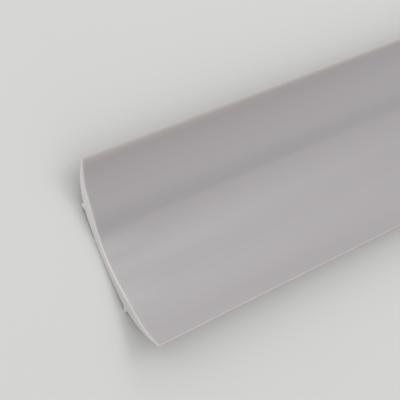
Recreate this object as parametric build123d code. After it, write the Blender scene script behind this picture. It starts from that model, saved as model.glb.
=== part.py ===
"""Coved PVC skirting profile, one extrusion.

The stock lies on its back with the hollow face up: X runs along the length and Y from the
floor edge to the wall edge. It rests on Z = 0 with the floor barb's tip and the rib's crest.
Lengths are in millimetres, angles in degrees from the chord that joins the two lips.
"""
import os
from dataclasses import dataclass
from math import cos, radians, sin, sqrt, tan

from build123d import *

# Stock
length = 2000.0
leg = 50.0

# Front: a round cove between two flat flanks, then a lip that curls up at each edge
wall_middle = 2.15
cove_radius = 55.0
flank_angle = 11.9
front_lip_radius = 24.3
front_lip_angle = 44.0

# Back: shallow middle, rounder shoulders, and a flat land that seats on the wall or floor
back_stand_off = 0.25
back_middle_radius = 132.0
back_middle_angle = 6.3
shoulder_radius = 34.3
shoulder_angle = 34.3
heel_radius = 8.0
land_angle = 45.0
lip_back_radius = 15.0
lip_back_angle = 58.0

# Level blunt edge of each lip
lip_edge = 0.45
lip_edge_rounding = 0.12

# Rib along the wall-side half of the back
rib_y = 6.85
rib_radius = 0.45

# What both barbs share: faces that run on into the wall, eased tips and roots
barb_inner_z = 3.0
barb_tip_rounding = 0.12
barb_root_fillet = 0.2

half_chord = leg / sqrt(2.0)


@dataclass
class Barb:
    """Hooked tooth; distances are from the middle of the section, heights from Z = 0."""

    tip_y: float
    tip_z: float
    tip_width: float
    hook_y: float
    hook_z: float
    ramp_angle: float
    undercut_angle: float


wall_barb = Barb(
    tip_y=20.7, tip_z=0.7, tip_width=0.65, hook_y=20.95, hook_z=1.35,
    ramp_angle=29.0, undercut_angle=9.0,
)
floor_barb = Barb(
    tip_y=20.4, tip_z=0.0, tip_width=0.35, hook_y=20.6, hook_z=1.35,
    ramp_angle=33.0, undercut_angle=25.0,
)


def arc_rise(radius, start, end):
    """Height gained by an arc whose slope turns from start to end."""
    return radius * (cos(radians(start)) - cos(radians(end)))


def arc_run(radius, start, end):
    """Width gained by an arc whose slope turns from start to end."""
    return radius * (sin(radians(end)) - sin(radians(start)))


def along(angle):
    """Unit direction at a slope."""
    return (cos(radians(angle)), sin(radians(angle)))


def turn(start, slope, radius, end_slope):
    """Arc that leaves start at a slope and turns up to a steeper one."""
    return JernArc(start=start, tangent=along(slope), radius=radius, arc_size=end_slope - slope)


def run(start, slope, distance):
    """Straight line that leaves start at a slope."""
    return PolarLine(start, distance, slope)


def middle_arc(radius, angle, height):
    """Symmetrical arc over the middle of the section, lowest at the given height."""
    left = (-arc_run(radius, 0, angle), height + arc_rise(radius, 0, angle))
    return JernArc(start=left, tangent=along(-angle), radius=radius, arc_size=2 * angle)


def back_half(start):
    """Back from the shallow middle out to the lip's edge."""
    shoulder = turn(start, back_middle_angle, shoulder_radius, shoulder_angle)
    heel = turn(shoulder @ 1, shoulder_angle, heel_radius, land_angle)
    lip_run = arc_run(lip_back_radius, land_angle, lip_back_angle)
    land_width = (half_chord - lip_run - (heel @ 1).X) / cos(radians(land_angle))
    land = run(heel @ 1, land_angle, land_width)
    lip = turn(land @ 1, land_angle, lip_back_radius, lip_back_angle)
    return [shoulder, heel, land, lip]


def front_half(start):
    """Front from the cove over the flat flank to the lip's edge."""
    lip_run = arc_run(front_lip_radius, flank_angle, front_lip_angle)
    flank_width = (half_chord - lip_edge - lip_run - start.X) / cos(radians(flank_angle))
    flank = run(start, flank_angle, flank_width)
    lip = turn(flank @ 1, flank_angle, front_lip_radius, front_lip_angle)
    return [flank, lip]


def wall_section():
    """Closed section of the curved wall, without barbs."""
    back_middle = middle_arc(back_middle_radius, back_middle_angle, back_stand_off)
    cove = middle_arc(cove_radius, flank_angle, back_stand_off + wall_middle)
    back = back_half(back_middle @ 1)
    front = front_half(cove @ 1)
    edge = Line(back[-1] @ 1, front[-1] @ 1)
    half = Curve() + back + front + [edge]
    wall = make_face(half + mirror(half, about=Plane.YZ) + back_middle + cove)
    lip_corners = wall.vertices().sort_by(Axis.Y)[-4:]
    return fillet(lip_corners, lip_edge_rounding)


def barb_section(barb):
    """Tooth with a ramped inner face, a blunt tip and an outer face that hooks back in."""
    tip_inner_y = barb.tip_y - barb.tip_width
    ramp_y = tip_inner_y - (barb_inner_z - barb.tip_z) / tan(radians(barb.ramp_angle))
    undercut_y = barb.hook_y - (barb_inner_z - barb.hook_z) * tan(radians(barb.undercut_angle))
    points = [
        (ramp_y, barb_inner_z),
        (tip_inner_y, barb.tip_z),
        (barb.tip_y, barb.tip_z),
        (barb.hook_y, barb.hook_z),
        (undercut_y, barb_inner_z),
    ]
    tooth = make_face(Polyline(*points, close=True))
    tip_corners = tooth.vertices().sort_by(Axis.Y)[:2]
    return fillet(tip_corners, barb_tip_rounding)


def rib_section():
    """Round rib whose crest touches the plane that the stock rests on."""
    return Pos(rib_y, rib_radius) * Circle(rib_radius)


def profile_section():
    """Whole section with both barbs and the rib."""
    wall = wall_section()
    barbs = [barb_section(wall_barb), mirror(barb_section(floor_barb), about=Plane.YZ)]
    section = wall + barbs
    known = [tuple(v) for face in [wall] + barbs for v in face.vertices()]
    roots = [v for v in section.vertices() if tuple(v) not in known]
    return fillet(roots, barb_root_fillet) + rib_section()


def skirting_profile():
    """Profile cut square at both ends."""
    return extrude(Plane.YZ * profile_section(), amount=length / 2, both=True)


os.makedirs("parts", exist_ok=True)
profile = skirting_profile()
export_step(profile, "parts/skirting_profile.step")
print("volume mm3", round(profile.volume), "valid", profile.is_valid)
print("box", profile.bounding_box())
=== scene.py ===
"""Coved PVC skirting profile on a pale floor: fine surface, finish, soft light and camera.

Section sizes are in millimetres and slopes in degrees, as in the part's drawing.
The scene itself is in metres: X along the length, Y from floor edge to wall edge, Z up.
"""
import math
from collections import namedtuple

import bmesh
import bpy
from mathutils import Matrix, Vector
from mathutils.geometry import delaunay_2d_cdt


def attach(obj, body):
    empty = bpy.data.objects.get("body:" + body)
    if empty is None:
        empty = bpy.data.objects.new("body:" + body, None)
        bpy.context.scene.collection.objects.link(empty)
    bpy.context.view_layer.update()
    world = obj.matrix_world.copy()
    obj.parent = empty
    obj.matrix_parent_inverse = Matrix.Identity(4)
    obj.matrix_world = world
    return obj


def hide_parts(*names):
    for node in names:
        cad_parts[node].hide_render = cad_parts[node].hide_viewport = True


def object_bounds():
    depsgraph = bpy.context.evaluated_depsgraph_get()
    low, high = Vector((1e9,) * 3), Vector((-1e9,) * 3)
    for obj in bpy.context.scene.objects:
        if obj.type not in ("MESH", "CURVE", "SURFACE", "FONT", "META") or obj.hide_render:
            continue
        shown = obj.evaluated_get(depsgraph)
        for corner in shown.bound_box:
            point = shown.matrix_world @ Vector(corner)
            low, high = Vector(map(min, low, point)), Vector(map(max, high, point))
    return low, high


MM = 0.001

# Section of the profile
LEG = 50.0
STAND_OFF = 0.25
WALL_MIDDLE = 2.15
COVE_RADIUS = 55.0
FLANK_SLOPE = 11.9
FRONT_LIP_RADIUS = 24.3
FRONT_LIP_SLOPE = 44.0
BACK_RADIUS = 132.0
BACK_SLOPE = 6.3
SHOULDER_RADIUS = 34.3
SHOULDER_SLOPE = 34.3
HEEL_RADIUS = 8.0
LAND_SLOPE = 45.0
LIP_BACK_RADIUS = 15.0
LIP_BACK_SLOPE = 58.0
LIP_EDGE = 0.45
LIP_ROUNDING = 0.12
HALF_CHORD = LEG / math.sqrt(2.0)

# Snap barbs and the rib
Barb = namedtuple("Barb", "tip_y tip_z tip_width hook_y hook_z ramp_slope undercut")
WALL_BARB = Barb(20.7, 0.7, 0.65, 20.95, 1.35, 29.0, 9.0)
FLOOR_BARB = Barb(20.4, 0.0, 0.35, 20.6, 1.35, 33.0, 25.0)
BARB_INNER_Z = 3.0
TIP_ROUNDING = 0.12
ROOT_FILLET = 0.2
ROOT_ROOM = 1.5
RIB_Y = 6.85
RIB_RADIUS = 0.45

# Straight steps along each stretch of the outline
BACK_MIDDLE_STEPS = 24
SHOULDER_STEPS = 28
HEEL_STEPS = 4
LAND_STEPS = 3
LIP_BACK_STEPS = 7
COVE_STEPS = 14
FLANK_STEPS = 8
FRONT_LIP_STEPS = 24
RIB_STEPS = 12
CORNER_STEPS = 5

# Saw cut: how wide the edge is eased along the front, and everywhere else
FRONT_ARRIS = 0.42
BACK_ARRIS = 0.1
ARRIS_FADE_END = 34.6
ARRIS_FADE_WIDTH = 4.5
# How uneven it is, and the two waves of that: radians to the millimetre, and phase
ARRIS_UNEVENNESS = 0.16
ARRIS_WAVES = [(0.83, 1.0), (0.31, -0.4)]
# Rings of an eased edge from the cut inwards: shares of its width drawn in and set back
EASED_RINGS = [(1.0, 0.0), (0.3, 0.3), (0.0, 1.0)]

# Rings along the length: the first this far from each cut, and then evenly
END_STATION = 0.9
STATION = 25.0
# Edges that turn by more degrees than this are shaded sharp
HARD_EDGE = 32.0

# Camera: lens and sensor in millimetres, place in metres, and where it looks and is upright
LENS = 126.0
SENSOR = 36.0
CAMERA_PLACE = Vector((-1.2704, 0.0183, 0.4146))
CAMERA_SIGHT = Vector((0.61169, -0.02432, -0.79073))
CAMERA_UP = Vector((0.31084, 0.92653, 0.21196))

# Even light of the room, and the soft boxes: place, where they aim, size and level; 1 is white
ROOM_LEVEL = 0.71
ROOM_TONE = (1.0, 1.0, 0.995, 1.0)
SoftBox = namedtuple("SoftBox", "name place aim size level")
SOFT_BOXES = [
    SoftBox("main_box", (1.35, 1.2, 2.0), (1.35, 1.2, 0.0), (3.3, 3.44), 0.3),
    SoftBox("near_box", (0.35, 1.3, 1.98), (0.35, 1.3, 0.0), (1.3, 3.14), 0.7),
    SoftBox("end_box", (0.06, 0.5, 1.96), (0.06, 0.5, 0.0), (0.72, 1.2), 0.55),
    SoftBox("peak_box", (0.15, 0.32, 1.94), (0.15, 0.32, 0.0), (0.9, 0.25), 1.1),
    SoftBox("side_box", (0.5, 3.2, 1.2), (0.5, 0.0, 1.2), (2.6, 2.4), 0.75),
    SoftBox("strip_box", (1.35, -1.125, 2.0), (1.35, -1.125, 0.0), (3.3, 0.45), 0.15),
    SoftBox("front_wall_box", (-2.2, 1.3, 1.1), (-1.0, 0.0, 0.0), (1.0, 1.0), 1.5),
    SoftBox("cut_end_box", (-3.2, -0.3, 0.3), (-1.0, 0.0, 0.0), (1.6, 0.6), 3.4),
]


def paint(red, green, blue):
    """Linear colour for a display colour given in 0 to 255."""
    def linear(level):
        level = level / 255.0
        return level / 12.92 if level <= 0.04045 else ((level + 0.055) / 1.055) ** 2.4

    return (linear(red), linear(green), linear(blue), 1.0)


# Tones of the plastic, and of the painted shade and highlights on it
PVC_DARK = paint(166.5, 162, 164)
PVC_LIGHT = paint(169.5, 165, 167)
STREAK_TONE = paint(174, 170, 171)
# Painted shade: the faint darker line opposite the rib
SHADE_LINE_TONE = paint(162.5, 158.5, 160)
# Painted highlight: a warm lighter band on the wall-side lip, and a brighter one at its edge
WALL_LIP_HIGHLIGHT_TONE = paint(182, 174, 171)
WALL_EDGE_HIGHLIGHT_TONE = paint(194, 187.5, 184.5)
# Painted highlight: a thin lighter line along the edges of both lips
LIP_EDGE_HIGHLIGHT_TONE = paint(188, 184, 183)
# Painted highlight: paler strips of the front next to each cut
END_STRIP_HIGHLIGHT_TONE = paint(176, 172, 173.5)
# Painted highlight: a thin light rim of the front along each cut
END_RIM_HIGHLIGHT_TONE = paint(184, 178, 173)
# The sawn face is pale, and painted shade makes it darker towards the floor side
SAWN_FLOOR_SIDE_SHADED = paint(187, 184, 186)
SAWN_WALL_SIDE = paint(204, 201, 203)
# The eased edge at the cut is whitened by the saw and lighter still by a painted highlight, whitest
# at the burr
ARRIS_WHITE_AND_HIGHLIGHT_TONE = paint(206, 202, 198)
BURR_WHITE_AND_HIGHLIGHT_TONE = paint(219, 214, 209)

# Bands across the width, in metres of Y: where each starts and where it is full.
# The faint line opposite the rib is painted shade; it is sharp towards the middle and fades slowly
# towards the wall.
# The lip edge's band, a painted highlight, is on both lips.
SHADE_LINE_RISE = (0.0065, 0.0095)
SHADE_LINE_FADE = (0.0170, 0.0105)
# Painted highlight on the wall-side lip, and the brighter one at its edge
WALL_LIP_HIGHLIGHT_BAND = (0.0318, 0.0348)
WALL_EDGE_HIGHLIGHT_BAND = (0.0337, 0.0348)
LIP_EDGE_HIGHLIGHT_BAND = (0.03465, 0.03492)
# Painted shade across the sawn face, darker towards the floor side
SAWN_SHADE_RAMP = (-0.030, 0.030)

# Painted highlights: paler strips of the front next to a cut, in metres of Y: the middle, how far
# from it each starts and is full, and how strong it is
EndHighlightStrip = namedtuple("EndHighlightStrip", "middle start full share")
END_HIGHLIGHT_STRIPS = [EndHighlightStrip(0.003, 0.0045, 0.001, 1.0), EndHighlightStrip(-0.0155, 0.006, 0.002, 0.5)]

# Whitest stretch of the eased edge, whitened by the saw and lighter still by a painted highlight: the
# middle, and how far from it it starts and is full
BURR_HIGHLIGHT_MIDDLE = -0.006
BURR_HIGHLIGHT_BAND = (0.015, 0.006)

# Bands along the length, in metres from the nearer cut, and the share of two of the tones
# The painted highlight on the wall-side lip is full near the cuts and weaker away from them
LIP_HIGHLIGHT_NEAR_CUT = (0.12, 0.03)
LIP_HIGHLIGHT_SHARE_AWAY = 0.6
# The painted highlight strips reach this far from each cut
END_STRIP_HIGHLIGHT_BAND = (0.024, 0.003)
# The painted highlight rim along each cut, and how strong it is
END_RIM_HIGHLIGHT_BAND = (0.0020, 0.0002)
END_RIM_HIGHLIGHT_SHARE = 0.5

# Share of the normal along X that tells the cut and its eased edge from the extruded surface
CUT_FACE_FACING = (0.85, 0.97)
CUT_ARRIS_FACING = (0.06, 0.3)

# Grain: features to the metre along X, Y and Z, and how many finer layers it has and how strong
Grain = namedtuple("Grain", "stretch detail roughness")
STREAK_GRAIN = Grain((0.9, 260.0, 260.0), 3.0, 0.6)
CLOUD_GRAIN = Grain((5.0, 30.0, 30.0), 2.0, 0.5)
DIE_LINE_GRAIN = Grain((0.6, 2600.0, 2600.0), 2.0, 0.7)
DRAW_GRAIN = Grain((7.0, 55.0, 55.0), 1.0, 0.5)
SAW_GRAIN = Grain((40.0, 60.0, 2300.0), 2.0, 0.6)
FLOOR_GRAIN = Grain((3.0, 3.0, 3.0), 3.0, 0.5)

# Where in a grain its tone starts and is full, and how much of the tone shows
CLOUD_CONTRAST = (0.3, 0.7)
STREAK_CONTRAST = (0.4, 0.8)
STREAK_SHARE = 0.3

# Relief: height in metres and strength
DRAW_RELIEF = (0.0002, 0.3)
DIE_LINE_RELIEF = (0.000012, 0.5)
SAW_RELIEF = (0.00004, 0.6)

# Gloss of the plastic: roughness of the plain surface, and what each feature adds to it
PVC_IOR = 1.53
PLAIN_ROUGH = 0.20
STREAK_ROUGH = 0.06
CUT_FACE_ROUGH = 0.35
CUT_ARRIS_ROUGH = 0.2
LIP_EDGE_ROUGH = 0.2

# Studio floor
FLOOR_DARK = paint(214, 214, 213)
FLOOR_LIGHT = paint(218, 218, 217)
FLOOR_ROUGH = 0.9
FLOOR_REACH = 14.0


# Section outline


def arc_points(start, radius, slope, end_slope, steps):
    """Points along an arc that leaves start at a slope and turns up, start left out."""
    a = math.radians(slope)
    points = []
    for step in range(1, steps + 1):
        b = math.radians(slope + (end_slope - slope) * step / steps)
        across = radius * (math.sin(b) - math.sin(a))
        up = radius * (math.cos(a) - math.cos(b))
        points.append((start[0] + across, start[1] + up))
    return points


def line_points(start, slope, distance, steps):
    """Points along a straight stretch, start left out."""
    a = math.radians(slope)
    reach = [distance * step / steps for step in range(1, steps + 1)]
    return [(start[0] + r * math.cos(a), start[1] + r * math.sin(a)) for r in reach]


def arc_run(radius, slope, end_slope):
    """Width gained by an arc between two slopes."""
    return radius * (math.sin(math.radians(end_slope)) - math.sin(math.radians(slope)))


def back_half():
    """Back from the middle of the section to the lip's edge."""
    path = [(0.0, STAND_OFF)]
    path += arc_points(path[-1], BACK_RADIUS, 0.0, BACK_SLOPE, BACK_MIDDLE_STEPS)
    path += arc_points(path[-1], SHOULDER_RADIUS, BACK_SLOPE, SHOULDER_SLOPE, SHOULDER_STEPS)
    path += arc_points(path[-1], HEEL_RADIUS, SHOULDER_SLOPE, LAND_SLOPE, HEEL_STEPS)
    lip_run = arc_run(LIP_BACK_RADIUS, LAND_SLOPE, LIP_BACK_SLOPE)
    land = (HALF_CHORD - lip_run - path[-1][0]) / math.cos(math.radians(LAND_SLOPE))
    path += line_points(path[-1], LAND_SLOPE, land, LAND_STEPS)
    path += arc_points(path[-1], LIP_BACK_RADIUS, LAND_SLOPE, LIP_BACK_SLOPE, LIP_BACK_STEPS)
    return path


def front_half():
    """Front from the middle of the cove to the lip's edge."""
    path = [(0.0, STAND_OFF + WALL_MIDDLE)]
    path += arc_points(path[-1], COVE_RADIUS, 0.0, FLANK_SLOPE, COVE_STEPS)
    lip_run = arc_run(FRONT_LIP_RADIUS, FLANK_SLOPE, FRONT_LIP_SLOPE)
    flank = (HALF_CHORD - LIP_EDGE - lip_run - path[-1][0]) / math.cos(math.radians(FLANK_SLOPE))
    path += line_points(path[-1], FLANK_SLOPE, flank, FLANK_STEPS)
    path += arc_points(path[-1], FRONT_LIP_RADIUS, FLANK_SLOPE, FRONT_LIP_SLOPE, FRONT_LIP_STEPS)
    return path


def back_height(y):
    """Height of the back under its shallow middle and shoulders."""
    middle_run = arc_run(BACK_RADIUS, 0.0, BACK_SLOPE)
    if y <= middle_run:
        return STAND_OFF + BACK_RADIUS - math.sqrt(BACK_RADIUS**2 - y * y)
    slope = math.radians(BACK_SLOPE)
    turned = math.asin(math.sin(slope) + (y - middle_run) / SHOULDER_RADIUS)
    rise = BACK_RADIUS * (1.0 - math.cos(slope))
    return STAND_OFF + rise + SHOULDER_RADIUS * (math.cos(slope) - math.cos(turned))


def meet_back(inside, outside):
    """Point where a straight line from inside the wall leaves through the back, by halving."""
    halvings = 40
    for _ in range(halvings):
        middle = ((inside[0] + outside[0]) / 2, (inside[1] + outside[1]) / 2)
        if middle[1] > back_height(middle[0]):
            inside = middle
        else:
            outside = middle
    return inside


def rounded(path, radii):
    """Path with the corners named in radii turned into short arcs."""
    out = []
    for i, point in enumerate(path):
        if i not in radii:
            out.append(point)
            continue
        corner = Vector(point)
        before = (Vector(path[i - 1]) - corner).normalized()
        after = (Vector(path[i + 1]) - corner).normalized()
        half = math.acos(max(-1.0, min(1.0, before.dot(after)))) / 2
        trim = radii[i] / math.tan(half)
        centre = corner + (before + after).normalized() * radii[i] / math.sin(half)
        first, last = corner + before * trim - centre, corner + after * trim - centre
        turn = first.angle_signed(last)
        for step in range(CORNER_STEPS + 1):
            spot = centre + Matrix.Rotation(-turn * step / CORNER_STEPS, 2) @ first
            out.append((spot.x, spot.y))
    return out


def barb_path(barb):
    """Tooth from the foot of its ramp over the blunt tip and the hook to its outer root."""
    tip_inner = (barb.tip_y - barb.tip_width, barb.tip_z)
    tip_outer = (barb.tip_y, barb.tip_z)
    hook = (barb.hook_y, barb.hook_z)
    ramp_run = (BARB_INNER_Z - barb.tip_z) / math.tan(math.radians(barb.ramp_slope))
    drawn_back = (BARB_INNER_Z - barb.hook_z) * math.tan(math.radians(barb.undercut))
    foot = meet_back((tip_inner[0] - ramp_run, BARB_INNER_Z), tip_inner)
    root = meet_back((hook[0] - drawn_back, BARB_INNER_Z), hook)
    return [foot, tip_inner, tip_outer, hook, root]


def rib_path():
    """Round rib with its crest on the floor."""
    sink = back_height(RIB_Y) - RIB_RADIUS
    wide = math.acos(-sink / RIB_RADIUS)
    swings = [wide * (2 * step / RIB_STEPS - 1.0) for step in range(RIB_STEPS + 1)]
    return [(RIB_Y + RIB_RADIUS * math.sin(a), RIB_RADIUS - RIB_RADIUS * math.cos(a)) for a in swings]


def toothed_back(barb, with_rib):
    """Half of the back with its barb, and with the rib on the wall side."""
    plain = back_half()
    tooth = barb_path(barb)
    clear = ROOT_ROOM * ROOT_FILLET
    inner = [p for p in plain if p[0] < tooth[0][0] - clear]
    outer = [p for p in plain if p[0] > tooth[-1][0] + clear]
    if with_rib:
        rib = rib_path()
        before = [p for p in inner if p[0] < rib[0][0] - clear]
        after = [p for p in inner if p[0] > rib[-1][0] + clear]
        inner = before + rib + after
    foot, tip_inner, tip_outer, root = (len(inner) + i for i in (0, 1, 2, 4))
    radii = {foot: ROOT_FILLET, tip_inner: TIP_ROUNDING, tip_outer: TIP_ROUNDING, root: ROOT_FILLET}
    return rounded(inner + tooth + outer, radii)


def front_arris(y):
    """Width of the eased edge along the front: a little uneven, and fading out at the lips."""
    fade = max(0.0, min(1.0, (ARRIS_FADE_END - abs(y)) / ARRIS_FADE_WIDTH))
    waver = math.prod(math.sin(rate * y + phase) for rate, phase in ARRIS_WAVES)
    width = FRONT_ARRIS * (1.0 + ARRIS_UNEVENNESS * waver)
    return BACK_ARRIS + (width - BACK_ARRIS) * fade


def half_outline(barb, side):
    """Half of the section from the back's middle round the lip to the front's middle.

    Each point is (y, z, arris), where arris is how wide a saw cut's edge is eased there.
    """
    back = toothed_back(barb, with_rib=side > 0)
    front = front_half()[::-1]
    lip = rounded([back[-2], back[-1], front[0], front[1]], {1: LIP_ROUNDING, 2: LIP_ROUNDING})
    outer = [(side * y, z, BACK_ARRIS) for y, z in back[:-1] + lip[1:-1]]
    return outer + [(side * y, z, front_arris(side * y)) for y, z in front[1:]]


def section_outline():
    """Whole outline, counterclockwise from the middle of the back."""
    return half_outline(WALL_BARB, 1)[:-1] + half_outline(FLOOR_BARB, -1)[:0:-1]


# Mesh of the whole length


def inward_normals(outline):
    """Unit normals of the outline that point into the plastic."""
    normals = []
    for i in range(len(outline)):
        before, after = outline[i - 1], outline[(i + 1) % len(outline)]
        along = Vector((after[0] - before[0], after[1] - before[1])).normalized()
        normals.append((-along.y, along.x))
    return normals


def add_ring(mesh, outline, inward, x, drawn_in=0.0, set_back=0.0):
    """Section at x, drawn in and set back from the end by shares of the arris."""
    verts = []
    for (y, z, arris), (ny, nz) in zip(outline, inward):
        here = x - math.copysign(arris * set_back, x)
        spot = (here, y + ny * arris * drawn_in, z + nz * arris * drawn_in)
        verts.append(mesh.verts.new(Vector(spot) * MM))
    return verts


def cut_triangles(ring):
    """Triangles that fill a closed ring of mesh corners lying in one cut."""
    flat = [Vector((vert.co.y, vert.co.z)) / MM for vert in ring]
    sides = [(i - 1, i) for i in range(1, len(flat))] + [(len(flat) - 1, 0)]
    inside_only = 1
    same_spot = 1e-6
    filled = delaunay_2d_cdt(flat, sides, [list(range(len(flat)))], inside_only, same_spot)
    triangles, origins = filled[2], filled[3]
    return [[ring[origins[corner][0]] for corner in triangle] for triangle in triangles]


def profile_mesh(length):
    """Closed mesh of the profile with eased edges at both saw cuts."""
    outline = section_outline()
    inward = inward_normals(outline)
    half = length / 2 / MM
    stations = [STATION * i - half for i in range(1, round(2 * half / STATION))]
    stations = [END_STATION - half] + stations + [half - END_STATION]
    mesh = bmesh.new()
    rings = [add_ring(mesh, outline, inward, -half, *shares) for shares in EASED_RINGS]
    rings += [add_ring(mesh, outline, inward, x) for x in stations]
    rings += [add_ring(mesh, outline, inward, half, *shares) for shares in EASED_RINGS[::-1]]
    for near, far in zip(rings, rings[1:]):
        for i in range(len(outline)):
            mesh.faces.new((near[i - 1], near[i], far[i], far[i - 1])).smooth = True
    cut_faces = []
    for ring in (rings[0], rings[-1]):
        cut_faces += [mesh.faces.new(corners) for corners in cut_triangles(ring)]
    bmesh.ops.recalc_face_normals(mesh, faces=mesh.faces)
    for edge in mesh.edges:
        if edge.calc_face_angle() > math.radians(HARD_EDGE):
            edge.smooth = False
    for face in cut_faces:
        for edge in face.edges:
            edge.smooth = False
    data = bpy.data.meshes.new("skirting_profile_surface")
    mesh.to_mesh(data)
    mesh.free()
    return data


# Finishes


class Term:
    """A value inside a finish; arithmetic on it adds the Math nodes."""

    def __init__(self, finish, socket):
        self.finish, self.socket = finish, socket

    def __add__(self, other):
        return self.finish.math("ADD", self, other)

    def __sub__(self, other):
        return self.finish.math("SUBTRACT", self, other)

    def __rsub__(self, other):
        return self.finish.math("SUBTRACT", other, self)

    def __mul__(self, other):
        return self.finish.math("MULTIPLY", self, other)

    __radd__ = __add__
    __rmul__ = __mul__

    def __abs__(self):
        return self.finish.math("ABSOLUTE", self)


class Finish:
    """A material under construction."""

    def __init__(self, name):
        self.material = bpy.data.materials.new(name)
        self.material.use_nodes = True
        self.tree = self.material.node_tree
        self.shader = self.tree.nodes["Principled BSDF"]

    def node(self, kind, settings=None, sockets=None):
        """Adds a node, its settings first, then values or links for its sockets."""
        made = self.tree.nodes.new(kind)
        for key, value in (settings or {}).items():
            setattr(made, key, value)
        for key, value in (sockets or {}).items():
            self.feed(made.inputs[key], value)
        return made

    def feed(self, socket, value):
        """Links a Term or a socket, or sets a plain value."""
        if isinstance(value, Term):
            value = value.socket
        if isinstance(value, bpy.types.NodeSocket):
            self.tree.links.new(value, socket)
        else:
            socket.default_value = value

    def math(self, operation, a, b=0.0):
        """Result of one step of arithmetic."""
        made = self.node("ShaderNodeMath", {"operation": operation}, {0: a, 1: b})
        return Term(self, made.outputs[0])

    def parts(self, vector):
        """The three numbers of a vector."""
        split = self.node("ShaderNodeSeparateXYZ", sockets={"Vector": vector})
        return [Term(self, socket) for socket in split.outputs]

    def step(self, value, low, high):
        """Smooth step that is 0 at low and 1 at high."""
        made = self.node(
            "ShaderNodeMapRange",
            {"interpolation_type": "SMOOTHSTEP"},
            {"Value": value, "From Min": low, "From Max": high},
        )
        return Term(self, made.outputs["Result"])

    def noise(self, place, grain):
        """Noise stretched and layered as the grain says."""
        stretched = {0: place, 1: grain.stretch}
        scaled = self.node("ShaderNodeVectorMath", {"operation": "MULTIPLY"}, stretched)
        made = self.node(
            "ShaderNodeTexNoise",
            sockets={
                "Vector": scaled.outputs[0],
                "Scale": 1.0,
                "Detail": grain.detail,
                "Roughness": grain.roughness,
            },
        )
        return Term(self, made.outputs["Fac"])

    def blend(self, mask, first, second):
        """Colour that goes from first to second with the mask."""
        made = self.node("ShaderNodeMix", {"data_type": "RGBA"}, {"Factor": mask})
        self.feed(made.inputs[6], first)
        self.feed(made.inputs[7], second)
        return made.outputs[2]

    def bump(self, height, distance, strength, below=None):
        """Normal tilted by a relief, on top of the relief below."""
        made = self.node(
            "ShaderNodeBump", sockets={"Height": height, "Distance": distance, "Strength": strength}
        )
        if below is not None:
            self.feed(made.inputs["Normal"], below)
        return made.outputs["Normal"]


def extruded_tone_and_painted_light(finish, place, y, from_cut, streaks):
    """Colour as extruded, clouds and streaks, with painted shade along the line opposite the rib and
    a warm painted highlight on the wall-side lip.
    """
    clouds = finish.noise(place, CLOUD_GRAIN)
    # painted shade along the line opposite the rib
    shade_line = finish.step(y, *SHADE_LINE_RISE) * finish.step(y, *SHADE_LINE_FADE)
    # painted highlight on the wall-side lip, strongest near the cuts, brightest at its edge
    near_cut = finish.step(from_cut, *LIP_HIGHLIGHT_NEAR_CUT)
    lip_highlight_share = LIP_HIGHLIGHT_SHARE_AWAY + (1.0 - LIP_HIGHLIGHT_SHARE_AWAY) * near_cut
    wall_lip_highlight = finish.step(y, *WALL_LIP_HIGHLIGHT_BAND) * lip_highlight_share
    body = finish.blend(finish.step(clouds, *CLOUD_CONTRAST), PVC_DARK, PVC_LIGHT)
    body = finish.blend(finish.step(streaks, *STREAK_CONTRAST) * STREAK_SHARE, body, STREAK_TONE)
    body = finish.blend(shade_line, body, SHADE_LINE_TONE)
    body = finish.blend(wall_lip_highlight, body, WALL_LIP_HIGHLIGHT_TONE)
    return finish.blend(finish.step(y, *WALL_EDGE_HIGHLIGHT_BAND), body, WALL_EDGE_HIGHLIGHT_TONE)


def painted_end_highlights(finish, body, y, from_cut):
    """The colour with its painted highlights next to each cut: paler strips and a thin light rim."""
    # painted highlights: paler strips next to each cut
    strips = sum(finish.step(abs(y - s.middle), s.start, s.full) * s.share for s in END_HIGHLIGHT_STRIPS)
    body = finish.blend(finish.step(from_cut, *END_STRIP_HIGHLIGHT_BAND) * strips, body, END_STRIP_HIGHLIGHT_TONE)
    # painted highlight: thin light rim along the cut
    return finish.blend(finish.step(from_cut, *END_RIM_HIGHLIGHT_BAND) * END_RIM_HIGHLIGHT_SHARE, body, END_RIM_HIGHLIGHT_TONE)


def sawn_tone_with_painted_light(finish, body, y, cut_face, cut_arris):
    """The colour with the pale sawn face, painted shade that darkens it towards the floor side, and
    the whitened edge round it, lighter still by a painted highlight and whitest at the burr.
    """
    # painted shade: the sawn face darker towards the floor side
    sawn = finish.blend(finish.step(y, *SAWN_SHADE_RAMP), SAWN_FLOOR_SIDE_SHADED, SAWN_WALL_SIDE)
    # whitening and painted highlight on the eased edge, whitest at the burr
    burr = finish.step(abs(y - BURR_HIGHLIGHT_MIDDLE), *BURR_HIGHLIGHT_BAND)
    body = finish.blend(cut_face, body, sawn)
    return finish.blend(cut_arris, body, finish.blend(burr, ARRIS_WHITE_AND_HIGHLIGHT_TONE, BURR_WHITE_AND_HIGHLIGHT_TONE))


def pvc_relief(finish, place, cut_face):
    """Relief: soft waves of the draw, fine die lines, and saw marks on the cut."""
    draw = finish.noise(place, DRAW_GRAIN)
    die_lines = finish.noise(place, DIE_LINE_GRAIN)
    saw = finish.noise(place, SAW_GRAIN)
    level = finish.bump(draw, *DRAW_RELIEF)
    lined = finish.bump(die_lines * (1.0 - cut_face), *DIE_LINE_RELIEF, level)
    return finish.bump(saw * cut_face, *SAW_RELIEF, lined)


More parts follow.
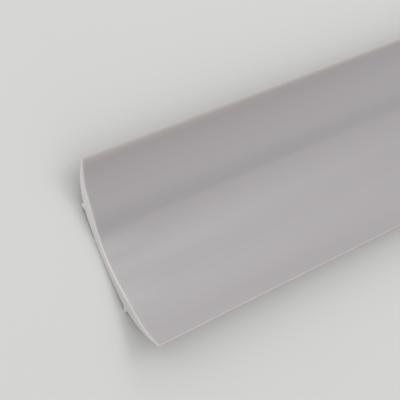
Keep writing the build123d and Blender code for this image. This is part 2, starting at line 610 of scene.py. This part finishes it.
def satin_pvc(length):
    """Extruded rigid PVC: satin light grey, with die lines along the length and sawn ends."""
    finish = Finish("satin_pvc")
    where = finish.node("ShaderNodeTexCoord")
    place = where.outputs["Object"]
    x, y = finish.parts(place)[:2]
    facing_x = finish.parts(where.outputs["Normal"])[0]

    from_cut = length / 2 - abs(x)
    cut_face = finish.step(abs(facing_x), *CUT_FACE_FACING)
    cut_arris = finish.step(abs(facing_x), *CUT_ARRIS_FACING) * (1.0 - cut_face)
    # painted highlight along the edges of both lips; the band is also rougher
    lip_edge_highlight = finish.step(abs(y), *LIP_EDGE_HIGHLIGHT_BAND)
    streaks = finish.noise(place, STREAK_GRAIN)

    body = extruded_tone_and_painted_light(finish, place, y, from_cut, streaks)
    body = finish.blend(lip_edge_highlight, body, LIP_EDGE_HIGHLIGHT_TONE)
    body = painted_end_highlights(finish, body, y, from_cut)
    body = sawn_tone_with_painted_light(finish, body, y, cut_face, cut_arris)
    rough = PLAIN_ROUGH + streaks * STREAK_ROUGH + lip_edge_highlight * LIP_EDGE_ROUGH
    rough = rough + cut_face * CUT_FACE_ROUGH + cut_arris * CUT_ARRIS_ROUGH

    finish.feed(finish.shader.inputs["Base Color"], body)
    finish.feed(finish.shader.inputs["Roughness"], rough)
    finish.feed(finish.shader.inputs["Normal"], pvc_relief(finish, place, cut_face))
    finish.shader.inputs["IOR"].default_value = PVC_IOR
    return finish.material


def pale_floor_finish():
    """Matt pale studio floor."""
    finish = Finish("pale_floor")
    place = finish.node("ShaderNodeTexCoord").outputs["Object"]
    mottle = finish.noise(place, FLOOR_GRAIN)
    finish.feed(finish.shader.inputs["Base Color"], finish.blend(mottle, FLOOR_DARK, FLOOR_LIGHT))
    finish.shader.inputs["Roughness"].default_value = FLOOR_ROUGH
    return finish.material


# Floor, light and camera


def studio_floor():
    """Large flat floor that the profile lies on."""
    data = bpy.data.meshes.new("studio_floor")
    signs = [(-1, -1), (1, -1), (1, 1), (-1, 1)]
    corners = [(FLOOR_REACH * x, FLOOR_REACH * y, 0.0) for x, y in signs]
    data.from_pydata(corners, [], [(0, 1, 2, 3)])
    floor = bpy.data.objects.new("studio_floor", data)
    bpy.context.collection.objects.link(floor)
    data.materials.append(pale_floor_finish())
    return floor


def soft_box(box):
    """Rectangular soft box whose face has the box's level."""
    lamp = bpy.data.lights.new(box.name, "AREA")
    lamp.shape = "RECTANGLE"
    lamp.size, lamp.size_y = box.size
    lamp.energy = box.level * box.size[0] * box.size[1] * math.pi
    holder = bpy.data.objects.new(box.name, lamp)
    holder.location = box.place
    aim = Vector(box.aim) - Vector(box.place)
    holder.rotation_euler = aim.to_track_quat("-Z", "Y").to_euler()
    bpy.context.collection.objects.link(holder)


def soft_room(level):
    """Even pale light from all round."""
    world = bpy.data.worlds.new("soft_room")
    world.use_nodes = True
    back = world.node_tree.nodes["Background"]
    back.inputs["Color"].default_value = ROOM_TONE
    back.inputs["Strength"].default_value = level
    bpy.context.scene.world = world


def photo_camera():
    """Camera above the near cut end, looking down along the profile."""
    data = bpy.data.cameras.new("photo_camera")
    data.sensor_width = SENSOR
    data.lens = LENS
    camera = bpy.data.objects.new("photo_camera", data)
    sight = CAMERA_SIGHT.normalized()
    upward = (CAMERA_UP - CAMERA_UP.dot(sight) * sight).normalized()
    right = sight.cross(upward)
    turned = Matrix((right, upward, -sight)).transposed().to_4x4()
    camera.matrix_world = Matrix.Translation(CAMERA_PLACE) @ turned
    bpy.context.collection.objects.link(camera)
    bpy.context.scene.camera = camera


# Build

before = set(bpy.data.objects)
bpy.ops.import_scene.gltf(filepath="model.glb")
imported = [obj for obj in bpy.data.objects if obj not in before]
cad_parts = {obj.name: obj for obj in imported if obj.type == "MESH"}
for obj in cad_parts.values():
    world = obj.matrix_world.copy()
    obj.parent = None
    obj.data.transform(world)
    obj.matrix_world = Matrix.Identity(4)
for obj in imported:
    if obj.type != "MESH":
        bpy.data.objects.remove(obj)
cad_box = [list(corner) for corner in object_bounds()]
stock_length = cad_box[1][0] - cad_box[0][0]

profile = bpy.data.objects.new("cove_profile", profile_mesh(stock_length))
bpy.context.collection.objects.link(profile)
profile.data.materials.append(satin_pvc(stock_length))
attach(profile, "root")
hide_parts("skirting_profile")

studio_floor()
soft_room(ROOM_LEVEL)
for box in SOFT_BOXES:
    soft_box(box)
photo_camera()
bpy.context.scene.view_settings.view_transform = "Standard"
